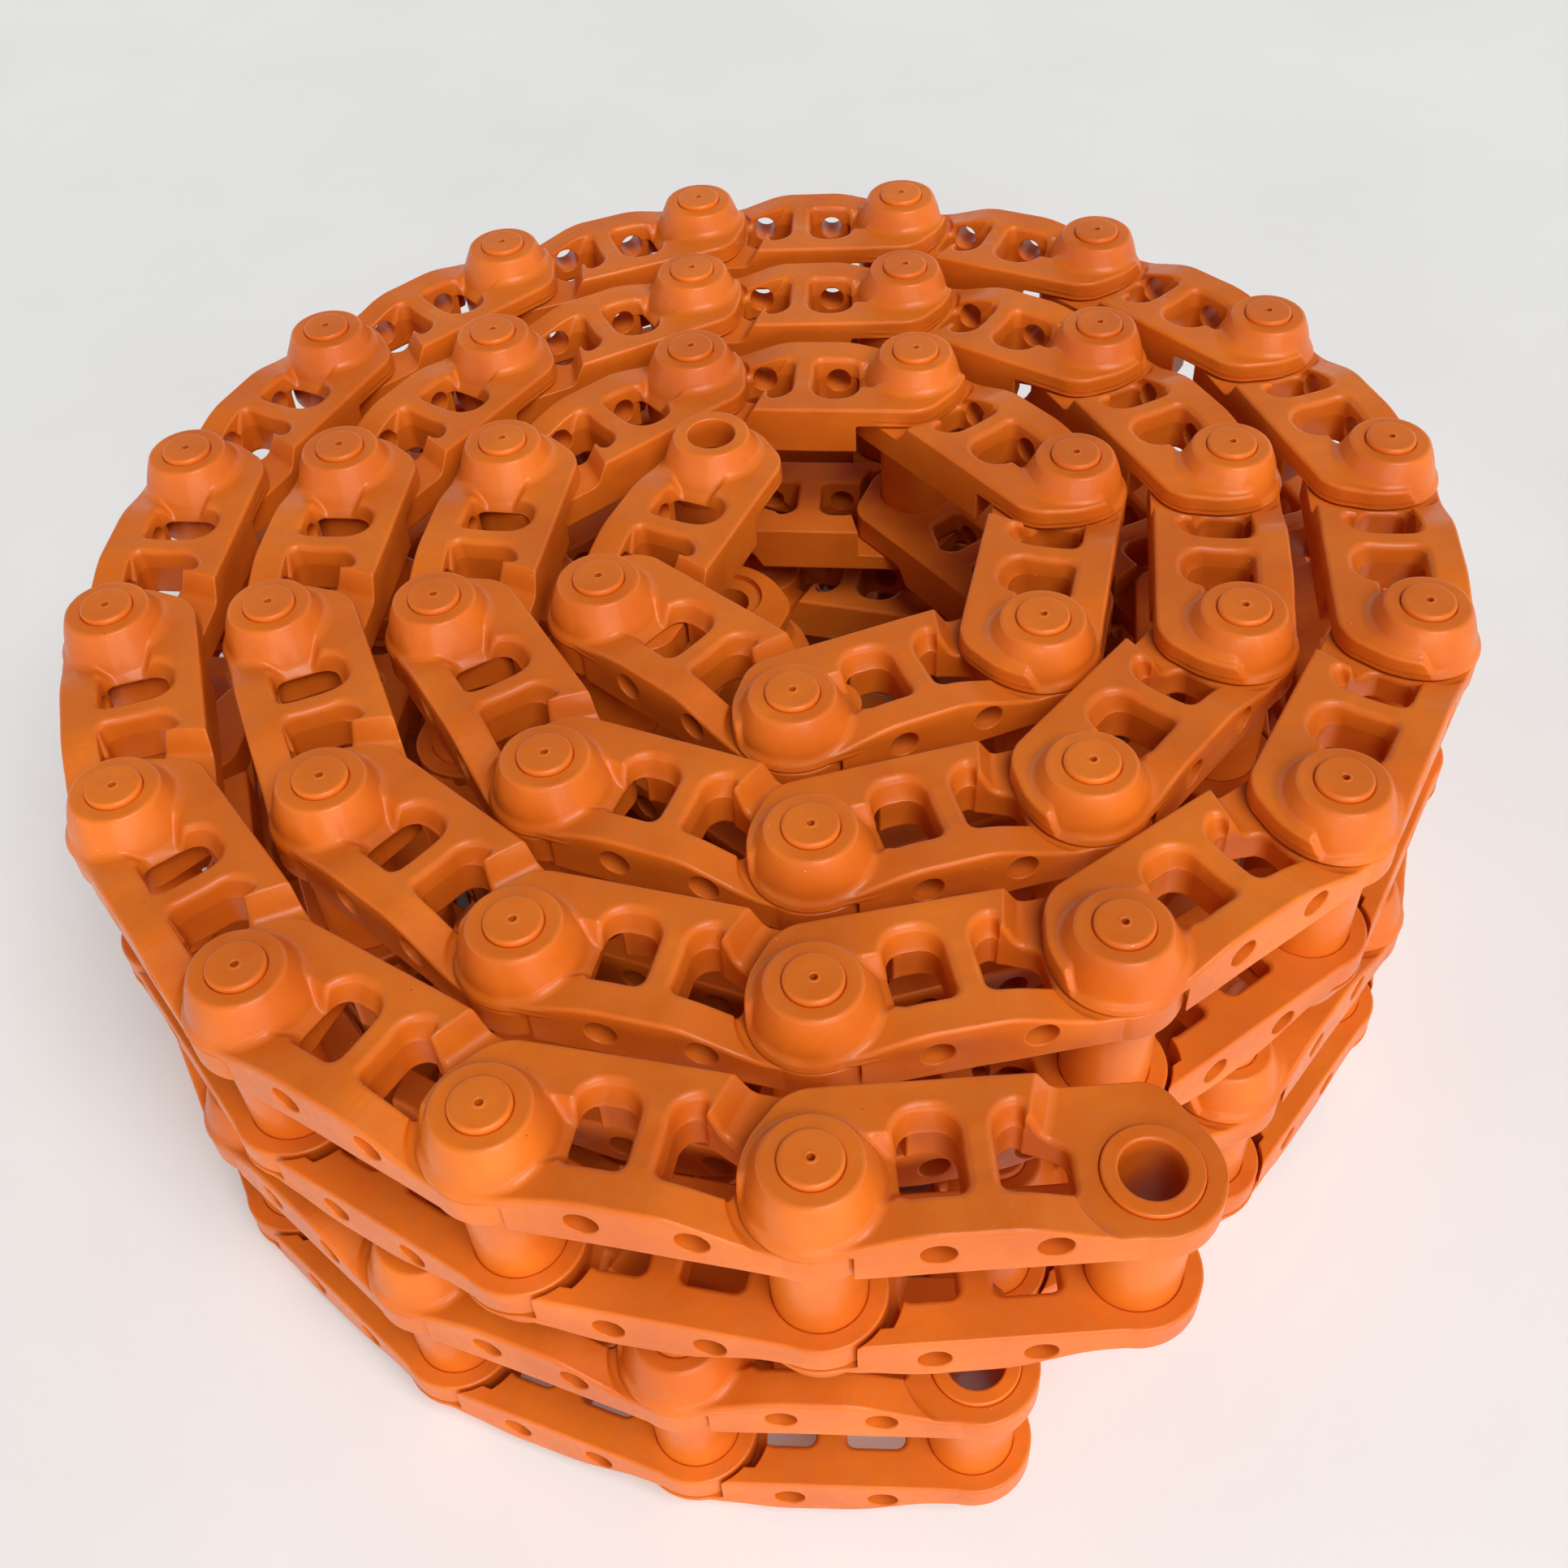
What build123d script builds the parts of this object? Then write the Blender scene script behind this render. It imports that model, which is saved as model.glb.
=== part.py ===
from build123d import *
import math
import os

# A pair of crawler track chains, each wound into a flat roll on its side, one roll on the other.
# Millimetres, +Z up. The chains' pins stand upright. The origin is under the middle of the pair.
# A chain is counted from its free outer end: axis 0 is the open bushing of link 1, and axis k is
# the pin of link k, which turns in the bushing of link k + 1.

# ---- the chain ----
PITCH = 190.0  # pin axis to bushing axis of one link
LINKS = 39  # link pairs in a chain
SHOE_HOLE_XS = (66.0, 130.0)  # shoe bolt holes, from the pin axis
SHOE_HOLE_Z = 65.0  # their height from the chain's middle plane
SHOE_HOLE_R = 10.25

# ---- link heights, out from the chain's middle plane ----
INNER_FACE = 43.0  # inner face of the bushing end
NEST_FACE = 67.5  # outer face of the bushing end, under the next link's pin end
LAP_FACE = 69.0  # inner face of the pin end
SKIRT_TOP = 76.0  # where the pin boss starts to narrow
WEB_FACE = 78.0  # between the pin boss and the first window
OUTER_FACE = 86.0  # tread and shoe strips
BOSS_TOP = 104.0

# ---- link plan, from the pin axis; +Y is the tread side, -Y the shoe side ----
END_R = 43.0
TREAD_Y = 60.0
SHOE_Y = 42.0
HEEL = (-END_R, 20.0)  # start of the bevel beside the pin end
HEEL_TOP = (-12.0, TREAD_Y)
NOSE_TOP = (PITCH + 15.0, TREAD_Y)
NOSE = (PITCH + 39.0, 18.0)  # where the nose bevel runs into the bushing end's round
CORNER_R = 12.0
BOSS_TOP_R = 30.0

# ---- windows between the tread strip and the shoe strip ----
WINDOW_LOW_Y = -15.0
WINDOW_HIGH_Y = 41.0  # at the outer face
WINDOW_THROAT_Y = 33.0  # at the inner face
WINDOW_THROAT_Z = 70.0
FIRST_WINDOW = (46.0, 86.0)  # from x, to x
SECOND_WINDOW = (102.0, 148.0)
WINDOW_CORNER_R = 10.0
BEVEL_FROM = (122.0, 30.0)  # the second window's bevelled corner, beside the bushing
BEVEL_TO = (SECOND_WINDOW[1], 17.0)

# ---- room for the neighbouring links to fold by ----
LAP_R = 45.0  # around the pin axis, under the pin end
LAP_NOSE_R = 51.0  # the same where the nose bevel swings
LAP_NOSE_FROM_Y = -29.0
LAP_TREAD_R = 64.0  # the same on the tread side, where the nose corner swings
LAP_TREAD_FROM_Y = -12.0
NEST_R = 49.0  # around the bushing axis, above the nest face
TIGHTEST_CURL = 74.0  # degrees between two links
FOLDED_TREAD = 61.5  # from a joint's axis to where a folded neighbour's tread face may come
TREAD_STOP_LEAN = 0.55  # run of the tread strip's end face for each mm of height
SHOE_SLOPES = ((8.0, 74.0), (56.0, 86.0), (114.0, 86.0), (160.0, 68.5))  # x, z of the shoe strip's top

# ---- bushing, pin and seals ----
BUSHING_R = 29.6
BUSHING_BORE_R = 19.3
BUSHING_HALF = 70.0
BUSHING_CHAMFER = 1.2
PIN_R = 19.0
PIN_HALF = 108.0
PIN_CHAMFER = 2.5
BORE_CHAMFER = 2.0
OIL_HOLE_R = 2.5
OIL_HOLE_DEPTH = 14.0
SEAL_SEAT_R = 31.0
SEAL_R = 30.0
SEAL_BORE_R = 20.5
SEAL_GAP = 0.4  # left between a seal and the bushing's end

# ---- the rolls ----
CORE_RADIUS = 136.5  # innermost axis from the roll's centre
WRAP_GROWTH = 120.5  # radius gained in one turn
WIDEST_STEP = 2.0  # more radians than one link turns round the centre
HALVINGS = 50
ROLL_HALF = PIN_HALF
ROLL_GAP = 0.5
# name, loose links at the free end, heading of link 2 in degrees, turn between links 2 and 1
ROLLS = (("bottom", 3, -24.7, 19.0), ("top", 7, -15.0, 15.0))

ABOVE = 200.0  # beyond any part of a link


def slab(face, low, high):
    """A plan face raised from one height to another."""
    return Pos(0, 0, low) * extrude(face, high - low)


def column(radius, low, high, x=0.0, y=0.0):
    return Pos(x, y, (low + high) / 2) * Cylinder(radius, high - low)


def across(points, y_from, y_to):
    """A prism with an outline in x and z, reaching from one y to another."""
    outline = Plane.XZ * make_face(Polyline(*points, close=True))
    return Pos(0, y_to, 0) * extrude(outline, y_to - y_from)


def link_plan():
    body = make_face(
        Polyline(
            (-END_R, 0),
            HEEL,
            HEEL_TOP,
            NOSE_TOP,
            NOSE,
            (PITCH, 0),
            (PITCH, -SHOE_Y),
            (0, -SHOE_Y),
            (0, 0),
            close=True,
        )
    )
    corners = body.vertices().filter_by_position(Axis.Y, TREAD_Y - 0.1, TREAD_Y + 0.1)
    body = fillet(corners, CORNER_R)
    return body + Circle(END_R) + Pos(PITCH, 0) * Circle(END_R)


def window(x_from, x_to):
    """A window with rounded corners, whose tread-side wall leans over the throat."""
    width, depth = x_to - x_from, WINDOW_HIGH_Y - WINDOW_LOW_Y
    plan = Pos((x_from + x_to) / 2, (WINDOW_HIGH_Y + WINDOW_LOW_Y) / 2) * RectangleRounded(
        width, depth, WINDOW_CORNER_R
    )
    lean = (WINDOW_HIGH_Y - WINDOW_THROAT_Y) / (OUTER_FACE - WINDOW_THROAT_Z)
    section = (
        (WINDOW_LOW_Y - 1, 0),
        (WINDOW_THROAT_Y, 0),
        (WINDOW_THROAT_Y, WINDOW_THROAT_Z),
        (WINDOW_THROAT_Y + lean * (ABOVE - WINDOW_THROAT_Z), ABOVE),
        (WINDOW_LOW_Y - 1, ABOVE),
    )
    throat = Pos(x_from, 0, 0) * extrude(Plane.YZ * make_face(Polyline(*section, close=True)), width)
    return slab(plan, 0, ABOVE) & throat


def window_bevel():
    """What stays of the forging in the second window's corner beside the bushing."""
    (x0, y0), (x1, y1) = BEVEL_FROM, BEVEL_TO
    corner = make_face(Polyline((x0, y0), (x0, TREAD_Y), (x1, TREAD_Y), (x1, y1), close=True))
    return slab(corner, 0, ABOVE)


def lap_room():
    """The space under the pin end, where the next link's bushing end turns and its tread folds in."""
    folded = Rot(0, 0, 90 - TIGHTEST_CURL) * Pos(FOLDED_TREAD - ABOVE, 0) * Rectangle(2 * ABOVE, 2 * ABOVE)
    nose_side = Pos(0, LAP_NOSE_FROM_Y + ABOVE) * Rectangle(2 * ABOVE, 2 * ABOVE)
    tread_side = Pos(0, LAP_TREAD_FROM_Y + ABOVE) * Rectangle(2 * ABOVE, 2 * ABOVE)
    room = Circle(LAP_R) + (Circle(LAP_NOSE_R) & nose_side) + ((Circle(LAP_TREAD_R) + folded) & tread_side)
    return slab(room, 0, LAP_FACE)


def tread_stop():
    """The wedge cut from the tread strip's end, so that the neighbour's tread can fold against it."""
    lean = TREAD_STOP_LEAN * (ABOVE - NEST_FACE)
    section = (
        (-ABOVE, NEST_FACE),
        (FOLDED_TREAD, NEST_FACE),
        (FOLDED_TREAD + lean, ABOVE),
        (-ABOVE, ABOVE),
    )
    wedge = Pos(PITCH, 0, 0) * Rot(0, 0, 90 + TIGHTEST_CURL) * across(section, -ABOVE, ABOVE)
    tread_side = Pos(PITCH, WINDOW_LOW_Y + ABOVE, NEST_FACE + ABOVE / 2) * Box(
        2 * ABOVE, 2 * ABOVE, ABOVE
    )
    return wedge & tread_side


def nest_room():
    """The space above the bushing end, where the next link's pin end turns."""
    beyond = Pos(PITCH + ABOVE / 2, 0) * Rectangle(ABOVE, ABOVE)
    return slab(Circle(NEST_R).moved(Pos(PITCH, 0)) + beyond, NEST_FACE, ABOVE)


def shoe_slopes():
    """What is cut from the shoe strip's top, beside the pin boss and towards the bushing."""
    (x0, z0), (x1, z1), (x2, z2), (x3, z3) = SHOE_SLOPES
    heel = across(((-ABOVE, z0), (x0, z0), (x1, z1), (x1, ABOVE), (-ABOVE, ABOVE)), -ABOVE, WINDOW_LOW_Y)
    toe = across(((x2, z2), (x3, z3), (ABOVE, z3), (ABOVE, ABOVE), (x2, ABOVE)), -ABOVE, WINDOW_LOW_Y)
    return heel + toe


def pin_end_cuts():
    """The low ground round the pin boss: the shoe-side skirt and the web before the first window."""
    skirt = Pos(-ABOVE / 2, -ABOVE / 2, SKIRT_TOP + ABOVE / 2) * Box(ABOVE, ABOVE, ABOVE)
    web = Pos(FIRST_WINDOW[0] / 2, WINDOW_LOW_Y / 2 + WINDOW_THROAT_Y / 2, WEB_FACE + ABOVE / 2) * Box(
        FIRST_WINDOW[0], WINDOW_THROAT_Y - WINDOW_LOW_Y, ABOVE
    )
    return skirt + web


def shoe_holes():
    hole = Pos(0, -ABOVE / 2 + WINDOW_LOW_Y + 1, SHOE_HOLE_Z) * Rot(90, 0, 0) * Cylinder(SHOE_HOLE_R, ABOVE)
    return [Pos(x, 0, 0) * hole for x in SHOE_HOLE_XS]


def upper_link():
    """The forging above the chain's middle plane. The lower one is its mirror image."""
    body = slab(link_plan(), INNER_FACE, OUTER_FACE)
    body -= [pin_end_cuts(), shoe_slopes(), nest_room(), tread_stop()]
    body += Pos(0, 0, (SKIRT_TOP + BOSS_TOP) / 2) * Cone(END_R, BOSS_TOP_R, BOSS_TOP - SKIRT_TOP)
    body -= [lap_room(), window(*FIRST_WINDOW), window(*SECOND_WINDOW) - window_bevel(), *shoe_holes()]
    body -= column(BUSHING_R, 0, ABOVE, PITCH)
    body -= column(PIN_R, 0, ABOVE)
    body -= column(SEAL_SEAT_R, 0, SKIRT_TOP)
    mouth = body.edges().filter_by(GeomType.CIRCLE).group_by(Axis.Z)[-1].sort_by(SortBy.RADIUS)[0]
    return chamfer(mouth, BORE_CHAMFER).solid()


def bushing():
    tube = Cylinder(BUSHING_R, 2 * BUSHING_HALF) - Cylinder(BUSHING_BORE_R, 2 * BUSHING_HALF)
    tube = chamfer(tube.edges().filter_by(GeomType.CIRCLE), BUSHING_CHAMFER)
    return Pos(PITCH, 0, 0) * tube.solid()


def pin():
    bar = chamfer(Cylinder(PIN_R, 2 * PIN_HALF).edges().filter_by(GeomType.CIRCLE), PIN_CHAMFER)
    for side in (1, -1):
        end, bottom = side * PIN_HALF, side * (PIN_HALF - OIL_HOLE_DEPTH)
        bar -= column(OIL_HOLE_R, min(end, bottom), max(end, bottom))
    return bar.solid()


def seals():
    """The two seal rings of one joint, in the counterbores of the pin end."""
    low = BUSHING_HALF + SEAL_GAP
    ring = column(SEAL_R, low, SKIRT_TOP) - column(SEAL_BORE_R, low, SKIRT_TOP)
    return [ring.solid(), ring.mirror(Plane.XY).solid()]


def spiral_point(turned):
    """A point on the roll's spiral, after the given angle from its inner end."""
    radius = CORE_RADIUS + WRAP_GROWTH * turned / (2 * math.pi)
    return Vector(radius * math.cos(turned), radius * math.sin(turned))


def one_pitch_on(turned):
    """The angle along the spiral at which the next axis lies one pitch from this one."""
    low, high = 0.0, WIDEST_STEP
    for _ in range(HALVINGS):
        middle = (low + high) / 2
        if (spiral_point(turned + middle) - spiral_point(turned)).length < PITCH:
            low = middle
        else:
            high = middle
    return turned + high


def heading(start, end):
    """Direction from one axis to another, in degrees."""
    return math.degrees(math.atan2(end.Y - start.Y, end.X - start.X))


def roll_axes(second_link_heading, free_end_turn):
    """The axes of a rolled chain, outer end first, about the roll's centre."""
    turned, wound = 0.0, [spiral_point(0.0)]
    for _ in range(LINKS - 1):
        turned = one_pitch_on(turned)
        wound.append(spiral_point(turned))
    twist = second_link_heading - heading(wound[-2], wound[-1])
    wound = [point.rotate(Axis.Z, twist) for point in wound]
    end_heading = math.radians(second_link_heading + free_end_turn)
    free_end = wound[-1] + Vector(math.cos(end_heading), math.sin(end_heading)) * PITCH
    return [free_end] + wound[::-1]


def middle_of_pair():
    """The middle, in plan, of both rolls' round link ends."""
    axes = [axis for _, _, heading_2, turn in ROLLS for axis in roll_axes(heading_2, turn)]
    xs, ys = [a.X for a in axes], [a.Y for a in axes]
    return Vector((min(xs) + max(xs)) / 2, (min(ys) + max(ys)) / 2)


def roll_layout():
    """For each roll: its name, its loose links, its middle height and its axes in the row's frame."""
    middle = middle_of_pair()
    layout = []
    for level, (name, loose, heading_2, turn) in enumerate(ROLLS):
        height = ROLL_HALF + level * (2 * ROLL_HALF + ROLL_GAP)
        axes = [axis - middle for axis in roll_axes(heading_2, turn)]
        layout.append((name, loose, height, axes))
    return layout


def link_place(axes, number, height):
    """Where a link lies: its pin axis is the origin and its bushing axis is on +X."""
    start, end = axes[number], axes[number - 1]
    return Pos(start.X, start.Y, height) * Rot(0, 0, heading(start, end))


def chain_nodes(name, loose, height, axes, shapes):
    """The nodes of one roll: five for each loose link, and five for all the links still wound."""
    nodes = {}
    for number in range(1, LINKS + 1):
        place = link_place(axes, number, height)
        wound = number > loose
        stem = f"{name}_core" if wound else f"{name}_link{number}"
        for piece, solids in shapes.items():
            if number == LINKS and piece in ("pin", "seals"):
                continue
            plural = "s" if wound and piece != "seals" else ""
            nodes.setdefault(f"{stem}_{piece}{plural}", []).extend(place * solid for solid in solids)
    return nodes


def all_nodes():
    upper = upper_link()
    shapes = {
        "upper_link": [upper],
        "lower_link": [upper.mirror(Plane.XY)],
        "bushing": [bushing()],
        "pin": [pin()],
        "seals": seals(),
    }
    nodes = {}
    for name, loose, height, axes in roll_layout():
        nodes.update(chain_nodes(name, loose, height, axes, shapes))
    return nodes


def main():
    os.makedirs("parts", exist_ok=True)
    for node, solids in all_nodes().items():
        shape = solids[0] if len(solids) == 1 else Compound(solids)
        export_step(shape, f"parts/{node}.step")


if __name__ == "__main__":
    main()
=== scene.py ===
import cmath
import math

import bmesh
import bpy
import numpy as np
import openvdb
from mathutils import Matrix, Vector


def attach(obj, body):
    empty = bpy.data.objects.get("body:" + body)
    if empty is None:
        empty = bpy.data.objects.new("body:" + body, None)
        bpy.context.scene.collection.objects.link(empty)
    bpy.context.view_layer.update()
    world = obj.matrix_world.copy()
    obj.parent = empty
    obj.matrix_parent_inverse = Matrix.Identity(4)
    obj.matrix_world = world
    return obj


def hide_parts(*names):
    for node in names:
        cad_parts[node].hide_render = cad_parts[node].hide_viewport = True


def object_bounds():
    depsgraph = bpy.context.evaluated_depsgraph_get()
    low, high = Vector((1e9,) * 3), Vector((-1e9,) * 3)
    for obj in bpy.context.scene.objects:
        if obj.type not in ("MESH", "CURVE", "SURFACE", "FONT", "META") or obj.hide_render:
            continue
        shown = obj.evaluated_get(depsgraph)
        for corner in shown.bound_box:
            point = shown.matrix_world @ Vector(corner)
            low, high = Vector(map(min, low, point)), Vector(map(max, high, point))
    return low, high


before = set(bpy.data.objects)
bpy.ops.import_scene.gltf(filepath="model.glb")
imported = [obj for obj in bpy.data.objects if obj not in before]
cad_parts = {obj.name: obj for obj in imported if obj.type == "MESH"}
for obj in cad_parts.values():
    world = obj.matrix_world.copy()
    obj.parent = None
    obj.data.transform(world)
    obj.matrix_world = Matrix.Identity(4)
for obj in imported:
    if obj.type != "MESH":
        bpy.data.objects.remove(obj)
cad_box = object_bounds()

# Two crawler track chains, wound into rolls. Lengths are millimetres up to the meshes, which are
# metres. A link's own frame has its pin axis at the origin, its bushing axis on +X and its tread
# side on +Y, and z counts from the chain's middle plane.
METRE = 0.001

# ---- the chain, as in the CAD ----
PITCH = 190.0
LINKS = 39
INNER_FACE, NEST_FACE, LAP_FACE = 43.0, 67.5, 69.0
SKIRT_TOP, WEB_TOP, STRUT_TOP, OUTER_FACE, BOSS_TOP = 75.0, 72.0, 85.0, 86.0, 104.0
END_R, TREAD_Y, SHOE_Y = 43.0, 60.0, 42.0
HEEL = ((-43.0, 20.0), (-12.0, 60.0))
NOSE = ((205.0, 60.0), (229.0, 18.0))
TREAD_CORNER_R = 12.0
BOSS_TOP_R = 30.0
WINDOWS = ((46.0, 86.0), (102.0, 148.0))
WINDOW_LOW_Y, WINDOW_HIGH_Y = -15.0, 41.0
THROAT_Y, THROAT_Z = 33.0, 70.0
BEVEL = ((122.0, 30.0), (148.0, 17.0))
LAP_R, LAP_NOSE_R, LAP_TREAD_R, NEST_R = 45.0, 51.0, 64.0, 49.0
LAP_NOSE_FROM_Y, LAP_TREAD_FROM_Y = -29.0, -12.0
TIGHTEST_CURL = math.radians(74.0)  # the most that one link turns against the next
FOLDED_TREAD = 61.5  # from a link's axis to its neighbour's tread, folded in as far as it goes
TREAD_STOP_LEAN = 0.55  # how far the end of the tread strip leans back for each mm of height
SHOE_SLOPES = ((8.0, 74.0), (56.0, 86.0), (114.0, 86.0), (160.0, 68.5))
SHOE_HOLE_XS, SHOE_HOLE_Z, SHOE_HOLE_R = (66.0, 130.0), 65.0, 10.25
BUSHING_R, BUSHING_BORE_R, BUSHING_HALF = 29.6, 19.3, 70.0
PIN_R, PIN_HALF = 19.0, 108.0
OIL_HOLE_R, OIL_HOLE_DEPTH = 2.5, 14.0
SEAL_SEAT_R, SEAL_SEAT_TOP = 31.0, 76.0

# ---- the forging's soft shapes ----
PLAN_INSET = 0.8  # leaves room for the uneven skin inside the nominal outline
FORGED_R, INNER_EDGE_R = 3.0, 2.0
BOSS_FILLET_R, BOSS_FOOT_INSET, BOSS_FOOT_R, BOSS_RIM_R = 5.0, 3.0, 8.0, 2.2
NEST_EDGE_R, NEST_CORNER_R, TREAD_STOP_R = 1.5, 5.0, 4.0
LAP_EDGE_R, LAP_CORNER_R = 1.2, 2.0
WINDOW_FLARE = 2.5  # how much narrower a window's throat is, on each side
THROAT_CORNER_R, SCOOP_MORE_R = 13.0, 5.0
WINDOW_RIM_R, WINDOW_SILL_R, BEVEL_R = 4.5, 7.0, 5.0
SCOOP_CURVE = 0.7  # below 1 for a scoop that is steep at its throat
SHOE_EASING = (-9.0, -3.0, 3.0, 9.0)  # spreads the bends of the shoe strip
STRUT_RISE = (60.0, 84.0)
TREAD_STRIP_FROM, TREAD_STRIP_SLOPE, TREAD_STRIP_WIDENS = 14.0, 13.0, 20.0
MIDDLE_FROM, MIDDLE_SLOPE, MIDDLE_NARROWS = -20.0, 12.0, 8.0
FLASH_WAVER, FLASH_WIDTH = 0.8, 1.4
FLASH_FADE = (-42.0, -20.0)  # it runs out away from the pin end
HOLE_RIM_R, BUSHING_SEAT_R, PIN_SEAT_R = 1.2, 1.3, 1.6
PRESS_GAP = 0.1

# ---- the rolls, as in the CAD ----
CORE_RADIUS, WRAP_GROWTH = 136.5, 120.5
ROLL_GAP = 0.5
WIDEST_STEP, HALVINGS = 2.0, 50  # for finding the next axis on the spiral
# name, loose links at the free end, heading of link 2 in degrees, turn between links 2 and 1
ROLLS = (("bottom", 3, -24.7, 19.0), ("top", 7, -15.0, 15.0))

# ---- how finely the forging is made ----
VOXEL = 0.9
LINK_TRIANGLES = 10_000
LINKS_IN_A_PIECE = 18
ROUND_SEGMENTS = 64

# ---- the photographed view ----
CAMERA_PLACE = Vector((0.0006, -1.0130, 1.2694))
CAMERA_DOWN = math.radians(47.29)
CAMERA_ROLL = math.radians(3.89)
CAMERA_LENS = 40.4
SENSOR = 36.0


# ---------------------------------------------------------------- where the links lie

def spiral_point(turned):
    """The point of the spiral at an angle from its inner end, as a complex number."""
    return (CORE_RADIUS + WRAP_GROWTH * turned / math.tau) * cmath.exp(1j * turned)


def one_pitch_on(turned):
    """The angle along the spiral at which the next axis lies one pitch from this one."""
    low, high = 0.0, WIDEST_STEP
    for _ in range(HALVINGS):
        middle = (low + high) / 2
        near = abs(spiral_point(turned + middle) - spiral_point(turned)) < PITCH
        low, high = (middle, high) if near else (low, middle)
    return turned + high


def roll_axes(second_link_heading, free_end_turn):
    """The axes of a rolled chain as complex numbers, outer end first, about the roll's centre."""
    turned, wound = 0.0, [spiral_point(0.0)]
    for _ in range(LINKS - 1):
        turned = one_pitch_on(turned)
        wound.append(spiral_point(turned))
    twist = math.radians(second_link_heading) - cmath.phase(wound[-1] - wound[-2])
    wound = [axis * cmath.exp(1j * twist) for axis in wound]
    free_end = wound[-1] + cmath.rect(PITCH, math.radians(second_link_heading + free_end_turn))
    return [free_end] + wound[::-1]


def link_places():
    """For each roll: its name, its loose links, and every link's matrix in metres."""
    rolls = [(name, loose, roll_axes(heading, turn)) for name, loose, heading, turn in ROLLS]
    xs = [axis.real for _, _, axes in rolls for axis in axes]
    ys = [axis.imag for _, _, axes in rolls for axis in axes]
    middle = complex(min(xs) + max(xs), min(ys) + max(ys)) / 2
    places = []
    for level, (name, loose, axes) in enumerate(rolls):
        height = PIN_HALF + level * (2 * PIN_HALF + ROLL_GAP)
        matrices = []
        for end, start in zip(axes, axes[1:]):
            at = start - middle
            turn = Matrix.Rotation(cmath.phase(end - start), 4, "Z")
            matrices.append(Matrix.Translation(Vector((at.real, at.imag, height)) * METRE) @ turn)
        places.append((name, loose, matrices))
    return places


# ---------------------------------------------------------------- distance fields of a forging

def common(a, b, r):
    """The overlap of two fields, with its edge rounded to radius r."""
    return np.minimum(-r, np.maximum(a, b)) + np.hypot(np.maximum(r + a, 0), np.maximum(r + b, 0))


def joined(a, b, r):
    """Two fields joined, with a fillet of radius r."""
    return -common(-a, -b, r)


def cut(a, b, r):
    """Field a less field b, with the rim rounded to radius r."""
    return common(a, -b, r)


def ramp(value, low, high):
    """From 0 to 1, smoothly, as value goes from low to high."""
    share = np.clip((value - low) / (high - low), 0, 1)
    return share * share * (3 - 2 * share)


def left_of(x, y, line):
    """How far a point is outside a line between two points, on the line's left."""
    (x0, y0), (x1, y1) = line
    return ((x0 - x) * (y1 - y0) + (y - y0) * (x1 - x0)) / math.hypot(x1 - x0, y1 - y0)


def plan_field(x, y):
    """The outline of a link: two round ends, a straight shoe side and a bevelled tread side."""
    ends = np.minimum(np.hypot(x, y), np.hypot(x - PITCH, y)) - END_R
    sides = np.hypot(x - np.clip(x, 0, PITCH), np.minimum(y, 0)) - END_R
    sides = np.maximum(sides, -SHOE_Y - y)
    for edge in (y - TREAD_Y, left_of(x, y, HEEL), left_of(x, y, NOSE)):
        sides = common(sides, edge, TREAD_CORNER_R)
    return np.minimum(ends, sides)


def top_height(x, y):
    """Height of the forging's outer face: tread strip, shoe strip, strut and the ground by the boss."""
    xs, zs = zip(*SHOE_SLOPES)
    shoe = sum(np.interp(x + step, xs, zs) for step in SHOE_EASING) / len(SHOE_EASING)
    middle = WEB_TOP + (STRUT_TOP - WEB_TOP) * ramp(x, *STRUT_RISE)
    tread_from = TREAD_STRIP_FROM - TREAD_STRIP_WIDENS * ramp(-x, 0, 20)
    middle_from = MIDDLE_FROM + MIDDLE_NARROWS * ramp(x, 30, 60)
    height = shoe + (middle - shoe) * ramp(y, middle_from, middle_from + MIDDLE_SLOPE)
    return height + (OUTER_FACE - height) * ramp(y, tread_from, tread_from + TREAD_STRIP_SLOPE)


def window_field(x, y, z, x_from, x_to):
    """A window: a throat right through, and over it an arched scoop in the tread strip."""
    up = np.clip((z - THROAT_Z) / (OUTER_FACE - THROAT_Z), 0, 1.2)
    flare = WINDOW_FLARE * (1 - up)
    sides = np.abs(x - (x_from + x_to) / 2) - (x_to - x_from) / 2 + flare
    arch = y - THROAT_Y - (WINDOW_HIGH_Y - THROAT_Y) * up**SCOOP_CURVE
    arched = common(sides, arch, THROAT_CORNER_R + SCOOP_MORE_R * up)
    room = common(arched, WINDOW_LOW_Y + flare - y, WINDOW_SILL_R)
    bevel = np.maximum(BEVEL[0][0] - x, -left_of(x, y, BEVEL))
    return common(room, -bevel, BEVEL_R)


def boss_field(x, y, z):
    """The cone round the pin, running out in the link's round end."""
    from_axis = np.hypot(x, y)
    slope = (END_R - BOSS_TOP_R) / (BOSS_TOP - SKIRT_TOP)
    cone = (from_axis - BOSS_TOP_R - slope * (BOSS_TOP - z)) / math.hypot(1, slope)
    foot = common(cone, plan_field(x, y) + BOSS_FOOT_INSET, BOSS_FOOT_R)
    return common(common(foot, z - BOSS_TOP, BOSS_RIM_R), LAP_FACE - z, 1.0)


def lap_field(x, y, z):
    """The room under the pin end, where the next link's bushing end turns."""
    from_axis = np.hypot(x, y)
    folded = x * math.sin(TIGHTEST_CURL) + y * math.cos(TIGHTEST_CURL) - FOLDED_TREAD
    tread_side = np.maximum(np.minimum(from_axis - LAP_TREAD_R, folded), LAP_TREAD_FROM_Y - y)
    nose_side = np.maximum(from_axis - LAP_NOSE_R, LAP_NOSE_FROM_Y - y)
    plan = np.minimum(np.minimum(from_axis - LAP_R, nose_side), tread_side)
    return common(plan, z - LAP_FACE, LAP_CORNER_R)


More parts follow.
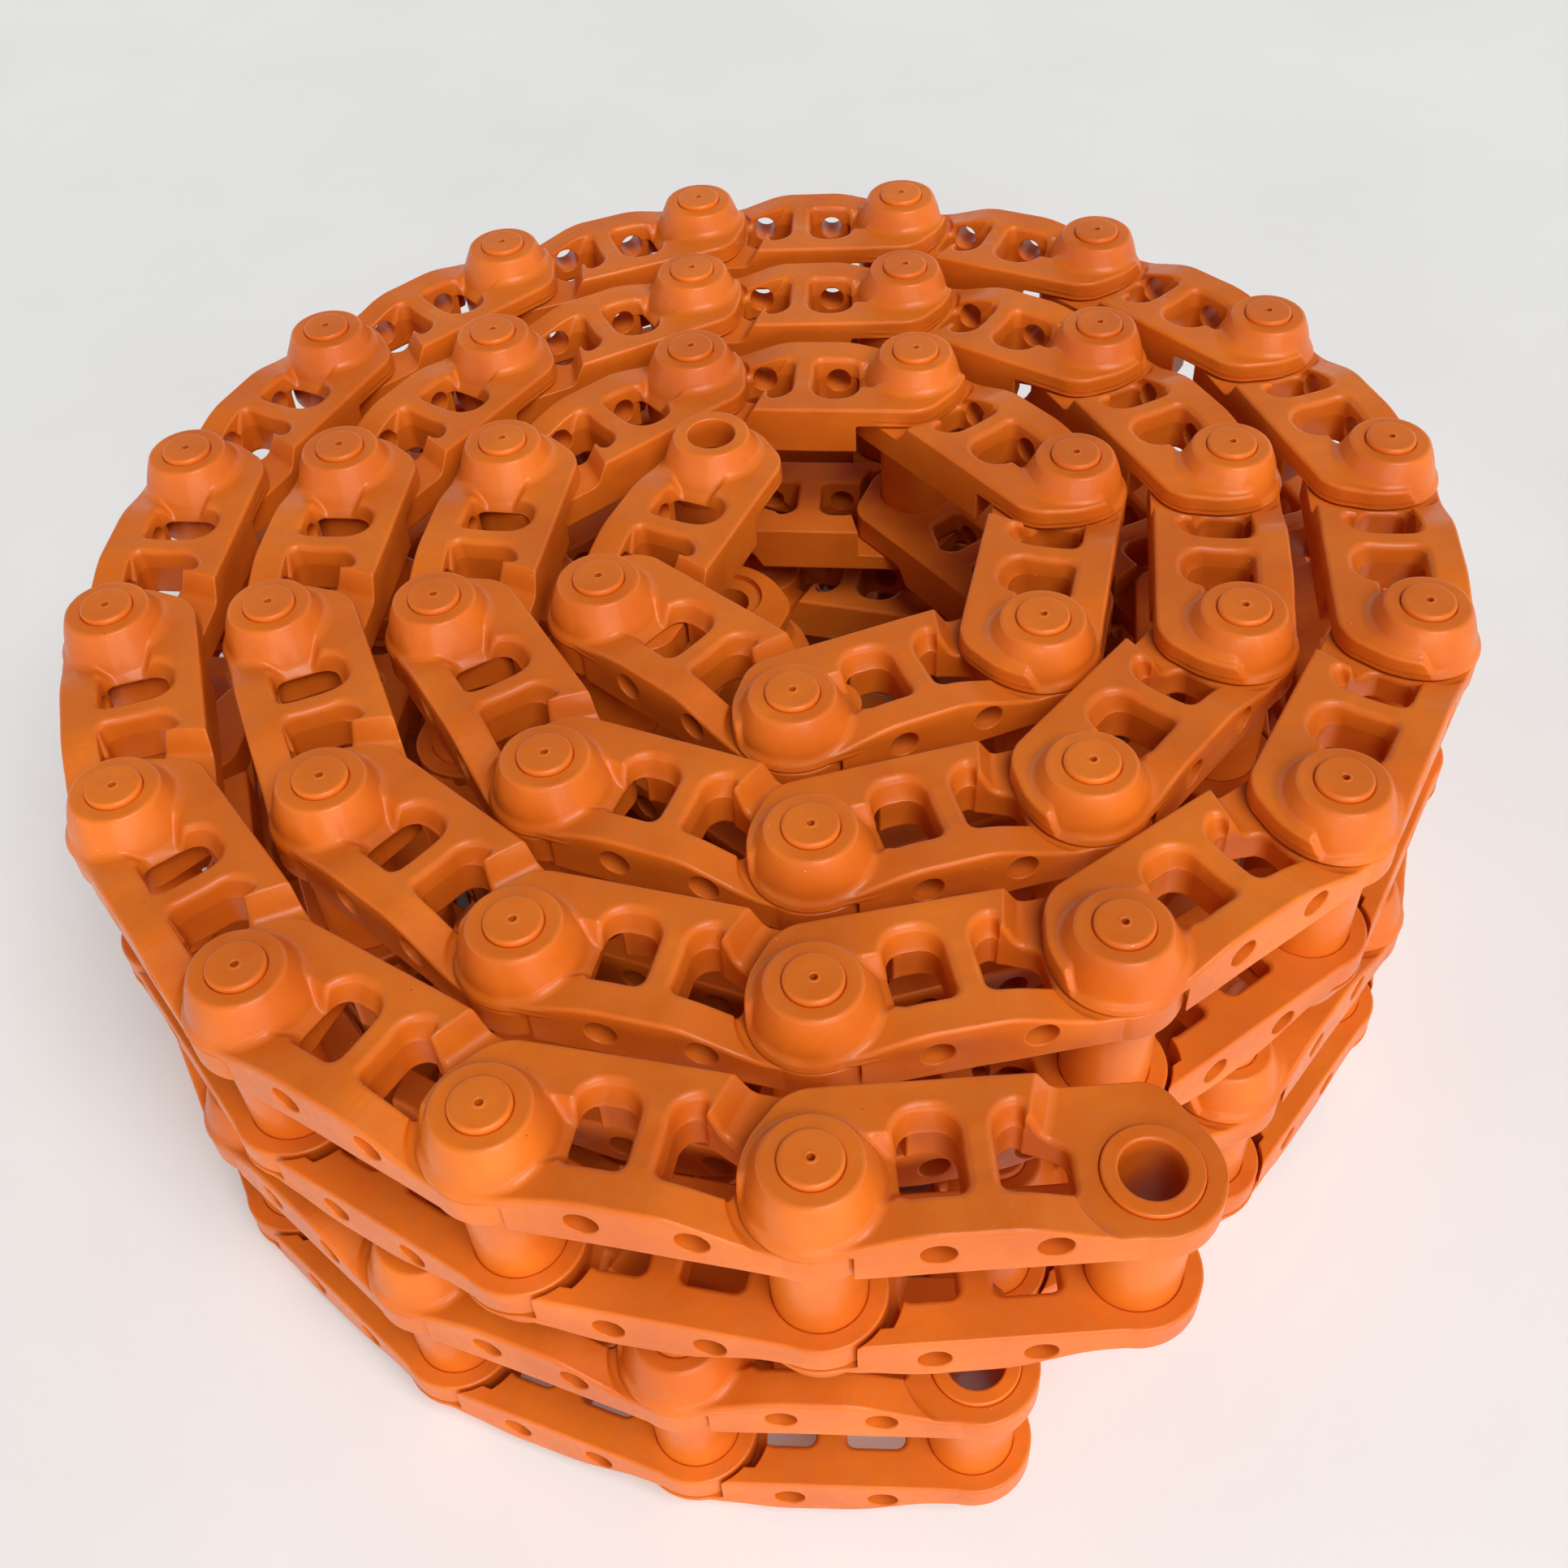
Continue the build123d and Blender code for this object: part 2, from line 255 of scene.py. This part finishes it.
def nest_field(x, y, z):
    """The room over the bushing end, where the next link's pin end turns."""
    room = np.minimum(np.hypot(x - PITCH, y) - NEST_R, PITCH - x)
    return common(room, NEST_FACE - z, NEST_CORNER_R)


def tread_stop_field(x, y, z):
    """The slanted end of the tread strip."""
    along = (PITCH - x) * math.sin(TIGHTEST_CURL) + y * math.cos(TIGHTEST_CURL)
    slant = along - FOLDED_TREAD - TREAD_STOP_LEAN * (z - NEST_FACE)
    slant = slant / math.hypot(1, TREAD_STOP_LEAN)
    return common(np.maximum(slant, WINDOW_LOW_Y - y), NEST_FACE - z, TREAD_STOP_R)


def flash_line(x, y, z):
    """The trimmed flash of the forging dies, a low double ridge round the pin end."""
    waver = FLASH_WAVER * np.sin(x / 23.0) + FLASH_WAVER * np.sin(y / 17.0 + 1.0)
    lower = np.exp(-(((z - LAP_FACE - 2.0 - waver) / FLASH_WIDTH) ** 2))
    upper = np.exp(-(((z - LAP_FACE - 6.5 - waver) / FLASH_WIDTH) ** 2))
    return (0.6 * lower + 0.4 * upper) * ramp(-x, *FLASH_FADE)


def waves(x, y, z):
    """The unevenness of a forged skin, up to a few tenths of a millimetre."""
    return 0.12 * (np.sin(x / 13.0 + z / 9.0) * np.sin(y / 11.0 + 2.0) + np.sin(x / 29.0 + y / 19.0))


def forging_field(x, y, z):
    """Distance from the surface of an upper link, below zero inside it."""
    plan = plan_field(x, y) + PLAN_INSET - flash_line(x, y, z)
    outer = (z - top_height(x, y)) * 0.92  # the face slopes, so heights overstate the distance
    field = common(common(plan, outer, FORGED_R), INNER_FACE - z, INNER_EDGE_R)
    field = joined(field, boss_field(x, y, z), BOSS_FILLET_R)
    field = cut(field, np.minimum(nest_field(x, y, z), tread_stop_field(x, y, z)), NEST_EDGE_R)
    for x_from, x_to in WINDOWS:
        field = cut(field, window_field(x, y, z, x_from, x_to), WINDOW_RIM_R)
    field = field + waves(x, y, z)
    for hole_x in SHOE_HOLE_XS:
        hole = np.maximum(np.hypot(x - hole_x, z - SHOE_HOLE_Z) - SHOE_HOLE_R, y - WINDOW_LOW_Y - 2)
        field = cut(field, hole, HOLE_RIM_R)
    field = cut(field, lap_field(x, y, z), LAP_EDGE_R)
    field = cut(field, np.hypot(x - PITCH, y) - BUSHING_R - PRESS_GAP, BUSHING_SEAT_R)
    field = cut(field, np.hypot(x, y) - PIN_R - PRESS_GAP, PIN_SEAT_R)
    seat = np.maximum(np.hypot(x, y) - SEAL_SEAT_R, z - SEAL_SEAT_TOP)
    return np.maximum(field, -seat)


# ---------------------------------------------------------------- meshes of single pieces

def slope_of(field, points):
    """The field's gradient at points, by central differences."""
    step = 0.25
    slopes = []
    for axis in np.eye(3) * step:
        ahead, behind = points + axis, points - axis
        slopes.append((field(*ahead.T) - field(*behind.T)) / (2 * step))
    return np.stack(slopes, axis=-1)


def settled(field, points):
    """The points, moved on to the surface."""
    for _ in range(3):
        slope = slope_of(field, points)
        steepness = np.maximum((slope**2).sum(-1), 0.2)
        move = np.clip(field(*points.T) / steepness, -0.4, 0.4)
        points = points - slope * move[:, None]
    return points


def voxel_mesh(field, low, high):
    """A closed mesh of the field's zero surface, straight from the voxels."""
    axes = [np.arange(a, b, VOXEL) for a, b in zip(low, high)]
    x, y, z = np.meshgrid(*axes, indexing="ij", sparse=True)
    values = field(x, y, z).astype(np.float32)
    grid = openvdb.FloatGrid(background=float(values.max()))
    grid.copyFromArray(values)
    points, triangles, quads = grid.convertToPolygons(isovalue=0.0, adaptivity=0.0)
    points = points * VOXEL + np.array(low)
    mesh = bpy.data.meshes.new("voxels")
    mesh.from_pydata(points.tolist(), [], triangles.tolist() + quads.tolist())
    return mesh


def thinned(mesh, triangles):
    """The mesh's vertices and triangles, thinned to about that many triangles."""
    work = bpy.data.objects.new("thinned", mesh)
    bpy.context.scene.collection.objects.link(work)
    bm = bmesh.new()
    bm.from_mesh(mesh)
    bmesh.ops.triangulate(bm, faces=bm.faces)
    bmesh.ops.recalc_face_normals(bm, faces=bm.faces)
    bm.to_mesh(mesh)
    bm.free()
    thin = work.modifiers.new("thin", "DECIMATE")
    thin.ratio = triangles / len(mesh.polygons)
    thin.use_collapse_triangulate = True
    evaluated = work.evaluated_get(bpy.context.evaluated_depsgraph_get())
    result = bpy.data.meshes.new_from_object(evaluated)
    points, corners = mesh_arrays(result)
    bpy.data.objects.remove(work)
    bpy.data.meshes.remove(mesh)
    bpy.data.meshes.remove(result)
    return points, corners


def mesh_arrays(mesh):
    """A triangle mesh's points and corners as arrays."""
    points = np.empty(len(mesh.vertices) * 3, np.float32)
    corners = np.empty(len(mesh.polygons) * 3, np.int32)
    mesh.vertices.foreach_get("co", points)
    mesh.polygons.foreach_get("vertices", corners)
    return points.reshape(-1, 3).astype(float), corners.reshape(-1, 3)


def corner_normals(field, points, corners):
    """A normal for each triangle's corners, read a little inside the triangle."""
    at = points[corners]
    inward = at.mean(axis=1, keepdims=True) - at
    distance = np.linalg.norm(inward, axis=-1, keepdims=True)
    at = at + inward * np.minimum(0.3, 1.2 / np.maximum(distance, 1e-6))
    normals = slope_of(field, at.reshape(-1, 3))
    return normals / np.linalg.norm(normals, axis=-1, keepdims=True)


def forging():
    """Points, triangles and corner normals of an upper link, in millimetres."""
    margin = 2 * VOXEL
    low = (-END_R - margin, -END_R - margin, INNER_FACE - margin)
    high = (PITCH + END_R + margin, TREAD_Y + margin, BOSS_TOP + margin)
    points, corners = thinned(voxel_mesh(forging_field, low, high), LINK_TRIANGLES)
    points = settled(forging_field, points)
    return points, corners, corner_normals(forging_field, points, corners)


def rounded(corners, steps=4, beside=0.5):
    """A closed outline from its corners, (radius, height, rounding), with a point beside each arc."""
    outline = []
    befores, afters = corners[-1:] + corners, corners[1:] + corners
    for (r0, h0, _), (r, h, rounding), (r1, h1, _) in zip(befores, corners, afters):
        corner = complex(r, h)
        back, ahead = complex(r0, h0) - corner, complex(r1, h1) - corner
        back, ahead = back / abs(back), ahead / abs(ahead)
        half = math.acos(max(-1.0, min(1.0, (back * ahead.conjugate()).real))) / 2
        tangent = rounding / math.tan(half)
        middle = corner + (back + ahead) / abs(back + ahead) * rounding / math.sin(half)
        first, last = corner + back * tangent - middle, corner + ahead * tangent - middle
        sweep = cmath.phase(last / first)
        arc = [middle + first * cmath.exp(1j * sweep * k / steps) for k in range(steps + 1)]
        outline += [corner + back * (tangent + beside), *arc, corner + ahead * (tangent + beside)]
    return [(point.real, point.imag) for point in outline]


def turned(outline, segments):
    """Points and quads of a closed outline of (radius, height) turned about Z."""
    angles = np.arange(segments) * math.tau / segments
    around = np.stack((np.cos(angles), np.sin(angles), 0 * angles), axis=-1)
    rings = [r * around + (0, 0, h) for r, h in outline]
    quads = []
    for ring in range(len(outline)):
        here, there = ring * segments, (ring + 1) % len(outline) * segments
        for k in range(segments):
            after = (k + 1) % segments
            quads.append((here + k, here + after, there + after, there + k))
    return np.concatenate(rings), np.array(quads), None


def sleeve():
    """The bushing, with rounded ends."""
    corners = [
        (BUSHING_R, -BUSHING_HALF, 1.4),
        (BUSHING_R, BUSHING_HALF, 1.4),
        (BUSHING_BORE_R, BUSHING_HALF, 1.9),
        (BUSHING_BORE_R, -BUSHING_HALF, 1.9),
    ]
    points, quads, normals = turned(rounded(corners), ROUND_SEGMENTS)
    return points + np.array((PITCH, 0, 0)), quads, normals


def bar():
    """The pin: rounded ends, each with a drilled oil hole in a small raised lip."""
    lip_r, lip, core_r = OIL_HOLE_R + 1.3, 0.35, 0.3
    half = [
        (PIN_R, PIN_HALF - lip, 2.4),
        (lip_r + 0.9, PIN_HALF - lip, 0.3),
        (lip_r, PIN_HALF, 0.25),
        (OIL_HOLE_R, PIN_HALF, 0.5),
        (OIL_HOLE_R, PIN_HALF - OIL_HOLE_DEPTH, 0.4),
        (core_r, PIN_HALF - OIL_HOLE_DEPTH, 0.05),
    ]
    corners = half + [(r, -h, rounding) for r, h, rounding in reversed(half)]
    return turned(rounded(corners, steps=3, beside=0.15), ROUND_SEGMENTS)


# ---------------------------------------------------------------- pieces

def copies(name, shape, matrices, mirrored=False):
    """One mesh of a shape's copies, in metres. A mirrored shape is turned over in z."""
    points, faces, normals = shape
    if mirrored:
        points = points * (1, 1, -1)
        faces = faces[:, ::-1]
        if normals is not None:
            normals = (normals.reshape(len(faces), -1, 3)[:, ::-1] * (1, 1, -1)).reshape(-1, 3)
    turns = [np.array(matrix.to_3x3()) for matrix in matrices]
    places = [np.array(matrix.translation) for matrix in matrices]
    all_points = np.concatenate([points @ turn.T * METRE + at for turn, at in zip(turns, places)])
    all_faces = np.concatenate([faces + k * len(points) for k in range(len(matrices))])
    loop_starts = np.arange(0, all_faces.size, all_faces.shape[1], dtype=np.int32)
    mesh = bpy.data.meshes.new(name)
    mesh.vertices.add(len(all_points))
    mesh.vertices.foreach_set("co", all_points.astype(np.float32).ravel())
    mesh.loops.add(all_faces.size)
    mesh.loops.foreach_set("vertex_index", all_faces.astype(np.int32).ravel())
    mesh.polygons.add(len(all_faces))
    mesh.polygons.foreach_set("loop_start", loop_starts)
    mesh.update(calc_edges=True)
    mesh.shade_smooth()
    if normals is not None:
        mesh.normals_split_custom_set(np.concatenate([normals @ turn.T for turn in turns]).tolist())
    return mesh


def add_piece(name, mesh, material, body, node):
    """A visible piece that rides a body in place of a CAD node."""
    obj = bpy.data.objects.new(name, mesh)
    bpy.context.scene.collection.objects.link(obj)
    mesh.materials.append(material)
    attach(obj, body)
    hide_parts(node)


def add_kind(body, plural, matrices, kind):
    """All the pieces of one kind on one body, a piece for each handful of forgings."""
    cad_kind, noun, shape, mirrored, material, slot = kind
    most = LINKS_IN_A_PIECE if noun.endswith("forging") else LINKS
    for part, first in enumerate(range(0, len(matrices), most)):
        number = f"_{part + 1}" if len(matrices) > most else ""
        mesh = copies(noun, shape, matrices[first:first + most], mirrored)
        node = f"{body}_{cad_kind}{plural}"
        add_piece(f"{body}_{noun}{number}", mesh, material, body, node)


def add_chain(name, loose, matrices, kinds):
    """The pieces of one roll: each loose link's own, then those of the wound core."""
    for k in range(loose):
        for kind in kinds:
            add_kind(f"{name}_link{k + 1}", "", [matrices[k]], kind)
    for kind in kinds:
        wound = matrices[loose:-1] if kind[0] == "pin" else matrices[loose:]  # the last link has no pin
        add_kind(f"{name}_core", "s", wound, kind)


# ---------------------------------------------------------------- materials

PAINT_BRIGHT = (0.78, 0.178, 0.012)
PAINT_DEEP = (0.62, 0.118, 0.007)
# darker, duller tint for upward faces: a dusting, and painted shade on the tops
DUST_AND_SHADE_TINT = (0.60, 0.18, 0.03)
# pale fleck colour: paint nicks that also stand as painted glints; dark chip colour
NICK_AND_GLINT, CHIP = (0.80, 0.55, 0.36, 1), (0.07, 0.02, 0.01, 1)
NICK_DEPTH = 0.0002


def add(tree, kind, sockets=None, **settings):
    """A shader node with its settings, and its input sockets set or linked."""
    node = tree.nodes.new("ShaderNode" + kind)
    for key, value in settings.items():
        setattr(node, key, value)
    for key, value in (sockets or {}).items():
        if isinstance(value, bpy.types.NodeSocket):
            tree.links.new(value, node.inputs[key])
        else:
            node.inputs[key].default_value = value
    return node


def calc(tree, operation, a, b):
    return add(tree, "Math", {0: a, 1: b}, operation=operation).outputs[0]


def rescaled(tree, value, low, high, to_low=0.0, to_high=1.0):
    """A value from one range brought to another, and kept within it."""
    sockets = {"Value": value, "From Min": low, "From Max": high, "To Min": to_low, "To Max": to_high}
    return add(tree, "MapRange", sockets).outputs[0]


def mixed(tree, share, a, b):
    node = add(tree, "Mix", {0: share, 6: a, 7: b}, data_type="RGBA")
    return node.outputs[2]


def noise(tree, place, scale, detail=3.0, stretch=None):
    """A noise value about 0.5, whose features are about 1/scale metres."""
    if stretch:
        place = add(tree, "VectorMath", {0: place, 1: stretch}, operation="MULTIPLY").outputs[0]
    return add(tree, "TexNoise", {"Vector": place, "Scale": scale, "Detail": detail}).outputs[0]


def new_material(name):
    """A material with an empty node tree."""
    material = bpy.data.materials.new(name)
    material.use_nodes = True
    material.node_tree.nodes.clear()
    return material, material.node_tree


def flecks(tree, place, scale, size, share):
    """Two masks of small scattered spots: pale ones, nicks in the paint whose pale colour also paints small
    glints, and dark ones.
    """
    cells = add(tree, "TexVoronoi", {"Vector": place, "Scale": scale, "Randomness": 1.0})
    spot = calc(tree, "LESS_THAN", cells.outputs["Distance"], size)
    chance = add(tree, "SeparateColor", {"Color": cells.outputs["Color"]})
    pale = calc(tree, "GREATER_THAN", chance.outputs[0], 1 - share)
    dark = calc(tree, "GREATER_THAN", chance.outputs[1], 1 - share)
    return calc(tree, "MULTIPLY", spot, pale), calc(tree, "MULTIPLY", spot, dark)


def paint_colour(tree, place, strength, dusting_and_top_shade, nicks_and_glints, chipped):
    """Orange that is uneven from coat to coat and tinted darker where it faces up (a dusting, and painted
    shade on the tops). In spots it has pale nicks, coloured as painted glints, and dark chips.
    """
    bright, deep, dusting_shade_tint = (
        (r * strength, g * strength, b * strength, 1) for r, g, b in (PAINT_BRIGHT, PAINT_DEEP, DUST_AND_SHADE_TINT)
    )
    cloudy = rescaled(tree, noise(tree, place, 11.0, 4.0), 0.35, 0.65)
    patchy = rescaled(tree, noise(tree, place, 75.0, 4.0), 0.3, 0.75)
    colour = mixed(tree, cloudy, deep, bright)
    colour = mixed(tree, calc(tree, "MULTIPLY", patchy, 0.35), colour, deep)
    # painted shade: faces that look up are mixed towards the darker tint, together with a dusting
    colour = mixed(tree, calc(tree, "MULTIPLY", dusting_and_top_shade, 0.3), colour, dusting_shade_tint)
    # pale flecks: nicks in the paint, coloured pale as painted glints
    colour = mixed(tree, nicks_and_glints, colour, NICK_AND_GLINT)
    return mixed(tree, chipped, colour, CHIP)


def dust_and_top_shade(tree, place):
    """How much a surface is tinted darker and roughened: patches wherever it faces up, a dusting whose tint
    also paints the shade of the tops.
    """
    patchy = rescaled(tree, noise(tree, place, 75.0, 4.0), 0.3, 0.75)
    up = add(tree, "SeparateXYZ", {0: add(tree, "NewGeometry").outputs["Normal"]}).outputs[2]
    return calc(tree, "MULTIPLY", rescaled(tree, up, 0.55, 1.0), patchy)


def paint_height(tree, place, lumps, peel, spots):
    """The relief of the paint in metres: a lumpy skin, fine peel, runs and the depth of nicks."""
    height = calc(tree, "MULTIPLY", noise(tree, place, 55.0, 3.0), lumps)
    height = calc(tree, "ADD", height, calc(tree, "MULTIPLY", noise(tree, place, 420.0, 4.0), peel))
    runs = noise(tree, place, 90.0, 2.0, (1, 1, 0.16))
    height = calc(tree, "ADD", height, calc(tree, "MULTIPLY", runs, lumps * 0.6))
    return calc(tree, "SUBTRACT", height, calc(tree, "MULTIPLY", spots, NICK_DEPTH))


def paint(name, strength, lumps, peel, smoothness):
    """Sprayed orange paint over steel."""
    material, tree = new_material(name)
    place = add(tree, "TexCoord").outputs["Object"]
    dusting_and_top_shade = dust_and_top_shade(tree, place)
    nicks_and_glints, chipped = flecks(tree, place, 95.0, 0.045, 0.05)
    grain = noise(tree, place, 160.0, 5.0)
    rough = rescaled(tree, grain, 0.3, 0.7, smoothness, smoothness + 0.13)
    height = paint_height(tree, place, lumps, peel, calc(tree, "ADD", nicks_and_glints, chipped))
    bump = add(tree, "Bump", {"Height": height, "Strength": 1.0, "Distance": 1.0})
    sockets = {
        "Base Color": paint_colour(tree, place, strength, dusting_and_top_shade, nicks_and_glints, chipped),
        "Roughness": calc(tree, "ADD", rough, calc(tree, "MULTIPLY", dusting_and_top_shade, 0.12)),
        "Normal": bump.outputs[0],
        "Specular IOR Level": 0.28,
        "Coat Weight": 0.16,
        "Coat Roughness": 0.14,
    }
    shader = add(tree, "BsdfPrincipled", sockets)
    add(tree, "OutputMaterial", {"Surface": shader.outputs[0]})
    return material


def rubber():
    """Dark seal rubber, with fine moulding grain and a bloom of grease."""
    material, tree = new_material("seal_rubber")
    place = add(tree, "TexCoord").outputs["Object"]
    bloom = rescaled(tree, noise(tree, place, 120.0, 4.0), 0.35, 0.7)
    colour = mixed(tree, bloom, (0.012, 0.012, 0.013, 1), (0.045, 0.035, 0.028, 1))
    rough = rescaled(tree, bloom, 0.0, 1.0, 0.55, 0.8)
    height = calc(tree, "MULTIPLY", noise(tree, place, 1400.0, 3.0), 0.00005)
    bump = add(tree, "Bump", {"Height": height, "Distance": 1.0})
    sockets = {"Base Color": colour, "Roughness": rough, "Normal": bump.outputs[0]}
    shader = add(tree, "BsdfPrincipled", sockets)
    add(tree, "OutputMaterial", {"Surface": shader.outputs[0]})
    return material


def floor_material():
    """Pale, faintly uneven studio floor."""
    material, tree = new_material("pale_floor")
    place = add(tree, "TexCoord").outputs["Object"]
    tone = rescaled(tree, noise(tree, place, 3.0, 5.0), 0.3, 0.7)
    colour = mixed(tree, tone, (0.86, 0.86, 0.85, 1), (0.90, 0.90, 0.895, 1))
    shader = add(tree, "BsdfPrincipled", {"Base Color": colour, "Roughness": 0.8})
    add(tree, "OutputMaterial", {"Surface": shader.outputs[0]})
    return material


# ---------------------------------------------------------------- stage, light and camera

def add_floor():
    """A wide floor just under the object, for the pictures only."""
    bm = bmesh.new()
    bmesh.ops.create_grid(bm, x_segments=8, y_segments=8, size=30.0)
    mesh = bpy.data.meshes.new("floor")
    bm.to_mesh(mesh)
    bm.free()
    mesh.materials.append(floor_material())
    floor = bpy.data.objects.new("floor", mesh)
    floor.location.z = cad_box[0].z - 0.0005
    bpy.context.scene.collection.objects.link(floor)


def add_softbox(name, place, target, width, height, power):
    """A rectangular light at a place, aimed at its target."""
    light = bpy.data.lights.new(name, "AREA")
    light.shape = "RECTANGLE"
    light.size, light.size_y = width, height
    light.energy = power
    box = bpy.data.objects.new(name, light)
    box.location = place
    box.rotation_euler = (Vector(target) - Vector(place)).to_track_quat("-Z", "Y").to_euler()
    bpy.context.scene.collection.objects.link(box)


def add_sun():
    """Daylight from a wide soft source, high in front and to the right."""
    light = bpy.data.lights.new("daylight", "SUN")
    light.energy = 2.4
    light.angle = math.radians(35)
    sun = bpy.data.objects.new("daylight", light)
    sun.rotation_euler = Vector((-0.3, 0.55, -0.9)).to_track_quat("-Z", "Y").to_euler()
    bpy.context.scene.collection.objects.link(sun)


def add_world():
    """A room that is bright near the horizon and dark overhead."""
    world = bpy.data.worlds.new("studio")
    world.use_nodes = True
    tree = world.node_tree
    direction = add(tree, "TexCoord").outputs["Generated"]
    height = add(tree, "SeparateXYZ", {0: direction}).outputs[2]
    light = rescaled(tree, height, 0.1, 0.6, 1.35, 0.06)
    background = tree.nodes["Background"]
    background.inputs["Color"].default_value = (1.0, 0.985, 0.97, 1)
    tree.links.new(light, background.inputs["Strength"])
    bpy.context.scene.world = world


def add_lights():
    middle = (cad_box[0] + cad_box[1]) / 2
    add_softbox("front", (0.5, -2.6, 0.9), middle, 2.6, 0.9, 20.0)
    add_sun()
    add_world()


def add_camera():
    """The photographed view, from in front and above, with its slight roll."""
    camera = bpy.data.cameras.new("camera")
    camera.sensor_width = SENSOR
    camera.lens = CAMERA_LENS
    view = bpy.data.objects.new("camera", camera)
    down = Matrix.Rotation(math.pi / 2 - CAMERA_DOWN, 4, "X")
    view.matrix_world = Matrix.Translation(CAMERA_PLACE) @ down @ Matrix.Rotation(-CAMERA_ROLL, 4, "Z")
    bpy.context.scene.collection.objects.link(view)
    bpy.context.scene.camera = view


def add_chains():
    """Both rolls in paint, and rubber on the seals that the CAD brings."""
    forged = paint("link_paint", 1.0, 0.00025, 0.00003, 0.36)
    ground = paint("bushing_paint", 1.04, 0.00006, 0.00002, 0.33)
    machined = paint("pin_paint", 1.0, 0.00008, 0.00003, 0.36)
    link = forging()
    kinds = (
        ("upper_link", "upper_forging", link, False, forged, "link_paint"),
        ("lower_link", "lower_forging", link, True, forged, "link_paint"),
        ("bushing", "sleeve", sleeve(), False, ground, "bushing_paint"),
        ("pin", "bar", bar(), False, machined, "pin_paint"),
    )
    for name, loose, matrices in link_places():
        add_chain(name, loose, matrices, kinds)
    seal = rubber()
    for node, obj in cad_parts.items():
        if node.endswith("seals"):
            obj.data.materials.clear()
            obj.data.materials.append(seal)


bpy.context.scene.view_settings.view_transform = "Standard"
add_chains()
add_floor()
add_lights()
add_camera()
